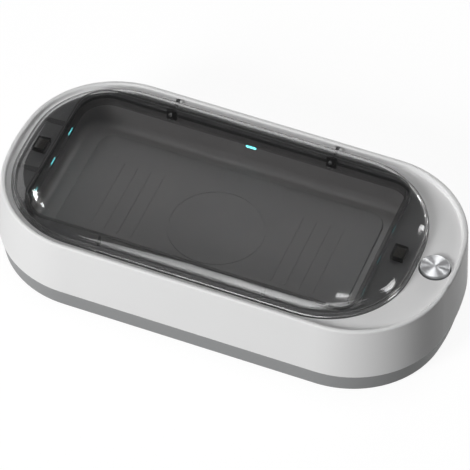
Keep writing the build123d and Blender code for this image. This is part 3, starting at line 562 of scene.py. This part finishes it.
def skirtRing(margin):
    s = skirtForm
    corners = [corner + margin for corner in s["corners"]]
    return roundedRing(s["middleX"], s["halfX"] + margin, s["halfY"] + margin, corners)


def underLid(x, y, gap):  # height of the lid's inner skin at a place, less a gap
    return edgeLine + lidRise(insetOf(lidPlan, x, y), lidForm["wall"]) - gap


def lidSkirt():
    s = skirtForm
    low, foot = s["low"], s["footRound"]
    cut = s["footCut"] * foot
    rings = []
    for margin, z in ((0, low + foot), (-cut, low + cut), (-foot, low), (foot - s["wall"], low),
                      (cut - s["wall"], low + cut), (-s["wall"], low + foot)):
        rings.append([(x, y, z) for x, y in skirtRing(margin)])
    rings.append([(x, y, underLid(x, y, s["seat"])) for x, y in skirtRing(-s["wall"])])
    rings.append([(x, y, underLid(x, y, s["seat"])) for x, y in skirtRing(0)])
    return ringFaces(rings, True)


lineForm = {"proud": 0.03 * mm, "deep": 0.5 * mm}


def lidLine():
    rings = []
    for margin, lift in ((0, lineForm["proud"]), (skirtForm["bandWide"], lineForm["proud"]),
                         (skirtForm["bandWide"], -lineForm["deep"]), (0, -lineForm["deep"])):
        ring = skirtRing(margin)
        rings.append([(x, y, edgeLine + lidRise(insetOf(lidPlan, x, y)) + lift) for x, y in ring])
    return ringFaces(rings, True)


ribForm = {"apart": 33.0 * mm, "thick": 0.8 * mm, "steps": 8, "seat": 0.03 * mm, "search": 0.1 * mm}


# Two thin ribs under the dome, from the left end of its edge to the skirt
def lidRibs():
    verts, faces = [], []
    low = lidUnder + ribForm["seat"]
    skirtLeft = skirtForm["middleX"] - skirtForm["halfX"] - ribForm["seat"]
    for side in (-1, 1):
        y = side * ribForm["apart"] / 2
        edge = lidBox[0][0]
        while insetOf(lidPlan, edge, y) < lidForm["wall"] + ribForm["seat"]:
            edge += ribForm["search"]
        start = len(verts)
        for i in range(ribForm["steps"] + 1):
            x = edge + (skirtLeft - edge) * i / ribForm["steps"]
            high = underLid(x, y, ribForm["seat"])
            for face in (-1, 1):
                across = y + face * ribForm["thick"] / 2
                verts += [(x, across, low), (x, across, max(high, low + ribForm["seat"]))]
        n = ribForm["steps"]
        for i in range(n):
            a, b = start + 4 * i, start + 4 * (i + 1)
            faces += [(a, b, b + 1, a + 1), (a + 2, a + 3, b + 3, b + 2),
                      (a + 1, b + 1, b + 3, a + 3), (a, a + 2, b + 2, b)]
        a, b = start, start + 4 * n
        faces += [(a, a + 1, a + 3, a + 2), (b, b + 2, b + 3, b + 1)]
    return verts, faces


lidDome = newPiece("lidDome", *lidShell(), lidAcrylic, "lid", "smoked_acrylic")
skirtPiece = newPiece("lidSkirt", *lidSkirt(), skirtAcrylic, "lid", "smoked_acrylic")
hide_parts("lid_cover")
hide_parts("lid_cover")
ribPiece = newPiece("lidRibs", *lidRibs(), skirtAcrylic, "lid", "smoked_acrylic", 0)
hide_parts("lid_cover")
linePiece = newPiece("lidLine", *lidLine(), lineInk, "lid", "band_ink")
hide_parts("lid_band")

print("charging coil")

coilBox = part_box("charging_coil")
coilForm = {"holeMm": 10.5, "wireMm": 0.86, "stepsPerTurn": 48}


# Flat spiral of wire, wound from the hole outwards and standing one wire high
def coilWinding():
    middle = [(coilBox[0][i] + coilBox[1][i]) / 2 for i in range(3)]
    outer = (coilBox[1][0] - coilBox[0][0]) / 2
    wire = coilForm["wireMm"] * mm
    inner = coilForm["holeMm"] * mm + wire / 2
    turns = (outer - wire / 2 - inner) / wire
    count = int(turns * coilForm["stepsPerTurn"])
    curve = bpy.data.curves.new("coilWinding", "CURVE")
    curve.dimensions = "3D"
    curve.bevel_depth = wire / 2
    curve.bevel_resolution = 2
    curve.use_fill_caps = True
    line = curve.splines.new("POLY")
    line.points.add(count)
    for i in range(count + 1):
        a = 2 * math.pi * i / coilForm["stepsPerTurn"]
        r = inner + (outer - wire / 2 - inner) * i / count
        line.points[i].co = (middle[0] + r * math.cos(a), middle[1] + r * math.sin(a), middle[2], 1)
    piece = bpy.data.objects.new("coilWinding", curve)
    bpy.context.scene.collection.objects.link(piece)
    curve.materials.append(copperWire)
    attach(piece, "case")
    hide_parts("charging_coil")


coilWinding()

print("button spring")

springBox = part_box("button_spring")
springForm = {"wire": 0.6 * mm, "endTurns": 1.0, "turns": 3.0, "stepsPerTurn": 36, "sides": 10,
              "travel": 0.5 * mm}


# Compression spring with closed end turns
def springCoil():
    f = springForm
    middle = [(springBox[0][i] + springBox[1][i]) / 2 for i in range(3)]
    radius = (springBox[1][1] - springBox[0][1] - f["wire"]) / 2
    tall = springBox[1][2] - springBox[0][2] - f["wire"]
    whole = f["turns"] + 2 * f["endTurns"]
    pitch = (tall - 2 * f["endTurns"] * f["wire"]) / f["turns"]
    count = int(whole * f["stepsPerTurn"])
    rings = []
    for i in range(count + 1):
        turn = whole * i / count
        low = min(turn, f["endTurns"]) * f["wire"]
        middleTurns = min(max(turn - f["endTurns"], 0), f["turns"]) * pitch
        high = max(turn - f["endTurns"] - f["turns"], 0) * f["wire"]
        a = 2 * math.pi * turn
        out = Vector((math.cos(a), math.sin(a), 0))
        height = springBox[0][2] + f["wire"] / 2 + low + middleTurns + high
        heart = Vector((middle[0], middle[1], height)) + out * radius
        ring = []
        for k in range(f["sides"]):
            b = 2 * math.pi * k / f["sides"]
            lift = Vector((0, 0, f["wire"] / 2 * math.sin(b)))
            ring.append(tuple(heart + out * f["wire"] / 2 * math.cos(b) + lift))
        rings.append(ring)
    return ringFaces(rings, False)


springPiece = newPiece("springCoil", *springCoil(), springSteel, "case", "spring_steel")
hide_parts("button_spring")
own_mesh(springPiece)

print("studio")

studio = {"floorMm": 6000, "floor": "#FFFFFF", "floorGlow": 1.05, "floorShadow": 0.12,
          "floorBounce": "#6C6C6C"}


def studioFloor():
    half = studio["floorMm"] * mm / 2
    mesh = bpy.data.meshes.new("floor")
    corners = [(-half, -half, 0), (half, -half, 0), (half, half, 0), (-half, half, 0)]
    mesh.from_pydata(corners, [], [(0, 1, 2, 3)])
    floor = bpy.data.objects.new("floor", mesh)
    bpy.context.scene.collection.objects.link(floor)
    material = bpy.data.materials.new("paper floor, white")
    material.use_nodes = True
    tree = material.node_tree
    tree.nodes.clear()
    seen = seenRay(tree)
    share = spread(tree, seen, 0.0, 1 - studio["floorShadow"])
    bounce, sight = srgb(studio["floorBounce"]), srgb(studio["floor"])
    tone = addNode(tree, "ShaderNodeMix", {"data_type": "RGBA"}, {"Factor": seen})
    tone.inputs[6].default_value, tone.inputs[7].default_value = bounce, sight
    paper = addNode(tree, "ShaderNodeBsdfDiffuse", None, {"Color": tone.outputs[2]})
    glow = addNode(tree, "ShaderNodeEmission", {"Color": sight, "Strength": studio["floorGlow"]})
    both = mixShaders(tree, share, paper.outputs["BSDF"], glow.outputs["Emission"])
    addNode(tree, "ShaderNodeOutputMaterial", None, {"Surface": both})
    mesh.materials.append(material)


studioFloor()

sky = {"level": 0.09, "white": 1.0, "ceiling": 0.1, "fadeFrom": 0.25, "fadeTo": 0.6}


# The room: plain soft light for the object, and a white backdrop that fades to a grey ceiling above
def studioWorld():
    world = bpy.data.worlds.new("studio")
    bpy.context.scene.world = world
    world.use_nodes = True
    tree = world.node_tree
    tree.nodes.clear()
    seen = seenRay(tree)
    toward = addNode(tree, "ShaderNodeTexCoord").outputs["Generated"]
    up = addNode(tree, "ShaderNodeSeparateXYZ", None, {"Vector": toward})
    fade = addNode(tree, "ShaderNodeMapRange", {
        "From Min": sky["fadeFrom"], "From Max": sky["fadeTo"],
        "To Min": sky["white"], "To Max": sky["ceiling"],
    }, {"Value": up.outputs["Z"]})
    soft = addNode(tree, "ShaderNodeBackground", {"Color": (1, 1, 1, 1), "Strength": sky["level"]})
    strength = {"Strength": fade.outputs["Result"]}
    backdrop = addNode(tree, "ShaderNodeBackground", {"Color": (1, 1, 1, 1)}, strength)
    both = mixShaders(tree, seen, soft.outputs["Background"], backdrop.outputs["Background"])
    addNode(tree, "ShaderNodeOutputWorld", None, {"Surface": both})


studioWorld()

lamps = {
    "key": {"turn": -24, "rise": 26, "far": 1.7,
        "wide": 0.5, "high": 0.5, "watts": 23.2, "lights": True, "shows": False},
    "rearFill": {"turn": 180, "rise": 7, "far": 1.7,
        "wide": 0.6, "high": 0.4, "watts": 12, "lights": True, "shows": False},
    "top": {"turn": 180, "rise": 82, "far": 1.6,
        "wide": 0.7, "high": 0.7, "watts": 3.3, "lights": True, "shows": True},
    "spark": {"turn": -145.2, "rise": 49.7, "far": 1.546, "lean": -10,
        "wide": 0.006, "high": 0.034, "watts": 0.05, "lights": False, "shows": True},
    "glint": {"turn": -145.8, "rise": 50.9, "far": 1.541, "lean": -10,
        "wide": 0.004, "high": 0.014, "watts": 0.008, "lights": False, "shows": True},
    "soft": {"turn": -168.3, "rise": 55.9, "far": 1.507, "lean": -8,
        "wide": 0.03, "high": 0.014, "watts": 0.013, "lights": False, "shows": True},
    "window": {"turn": -120.4, "rise": 42.4, "far": 1.632, "lean": -13,
        "wide": 0.95, "high": 0.38, "watts": 1.5, "lights": False, "shows": True},
    "spokeOne": {"turn": -135.8, "rise": 77.9, "far": 1.522, "lean": -49,
        "wide": 0.42, "high": 1.0, "watts": 6.2, "lights": False, "shows": True},
    "spokeTwo": {"turn": 145.6, "rise": 57.5, "far": 1.563, "lean": 101,
        "wide": 0.16, "high": 0.7, "watts": 3.2, "lights": False, "shows": True},
    "spokeThree": {"turn": 159.5, "rise": 39.8, "far": 1.551, "lean": 136,
        "wide": 0.08, "high": 0.6, "watts": 1.5, "lights": False, "shows": True},
    "rearStrip": {"turn": 167, "rise": 16, "far": 1.56,
        "wide": 0.1, "high": 0.28, "watts": 0.8, "lights": False, "shows": True},
    "rearLine": {"turn": 156, "rise": 20, "far": 1.57,
        "wide": 0.03, "high": 0.3, "watts": 0.4, "lights": False, "shows": True},
}


# Softboxes: turn is measured from the front towards the button end, rise above the table, and lean about
# the line to the object
def studioLamps():
    for name, lamp in lamps.items():
        light = bpy.data.lights.new(name, "AREA")
        light.shape = "RECTANGLE"
        light.size, light.size_y = lamp["wide"], lamp["high"]
        light.energy = lamp["watts"]
        turn, rise = math.radians(lamp["turn"]), math.radians(lamp["rise"])
        away = Vector((math.sin(turn) * math.cos(rise), -math.cos(turn) * math.cos(rise), math.sin(rise)))
        holder = bpy.data.objects.new(name, light)
        holder.location = away * lamp["far"]
        holder.rotation_mode = "QUATERNION"
        lean = Quaternion((0, 0, 1), math.radians(lamp.get("lean", 0)))
        holder.rotation_quaternion = away.to_track_quat("Z", "Y") @ lean
        holder.visible_diffuse = lamp["lights"]
        holder.visible_glossy = holder.visible_transmission = lamp["shows"]
        bpy.context.scene.collection.objects.link(holder)


studioLamps()

lens = {"azimuth": 19.931, "elevation": 48.098, "roll": 1.939, "placeMm": (392.7, -1079.2, 1299.7),
        "focalMm": 274.3, "sensorMm": 36.0, "nearest": 0.05, "farthest": 20}


def studioCamera():
    data = bpy.data.cameras.new("camera")
    data.sensor_width = lens["sensorMm"]
    data.sensor_fit = "HORIZONTAL"
    data.lens = lens["focalMm"]
    data.clip_start, data.clip_end = lens["nearest"], lens["farthest"]
    az, el, roll = [math.radians(lens[k]) for k in ("azimuth", "elevation", "roll")]
    back = Vector((math.cos(el) * math.sin(az), -math.cos(el) * math.cos(az), math.sin(el)))
    right = Vector((math.cos(az), math.sin(az), 0))
    up = back.cross(right)
    right, up = right * math.cos(roll) + up * math.sin(roll), up * math.cos(roll) - right * math.sin(roll)
    camera = bpy.data.objects.new("camera", data)
    place = Matrix.Translation(Vector(lens["placeMm"]) * mm)
    camera.matrix_world = place @ Matrix((right, up, back)).transposed().to_4x4()
    bpy.context.scene.collection.objects.link(camera)
    bpy.context.scene.camera = camera


studioCamera()
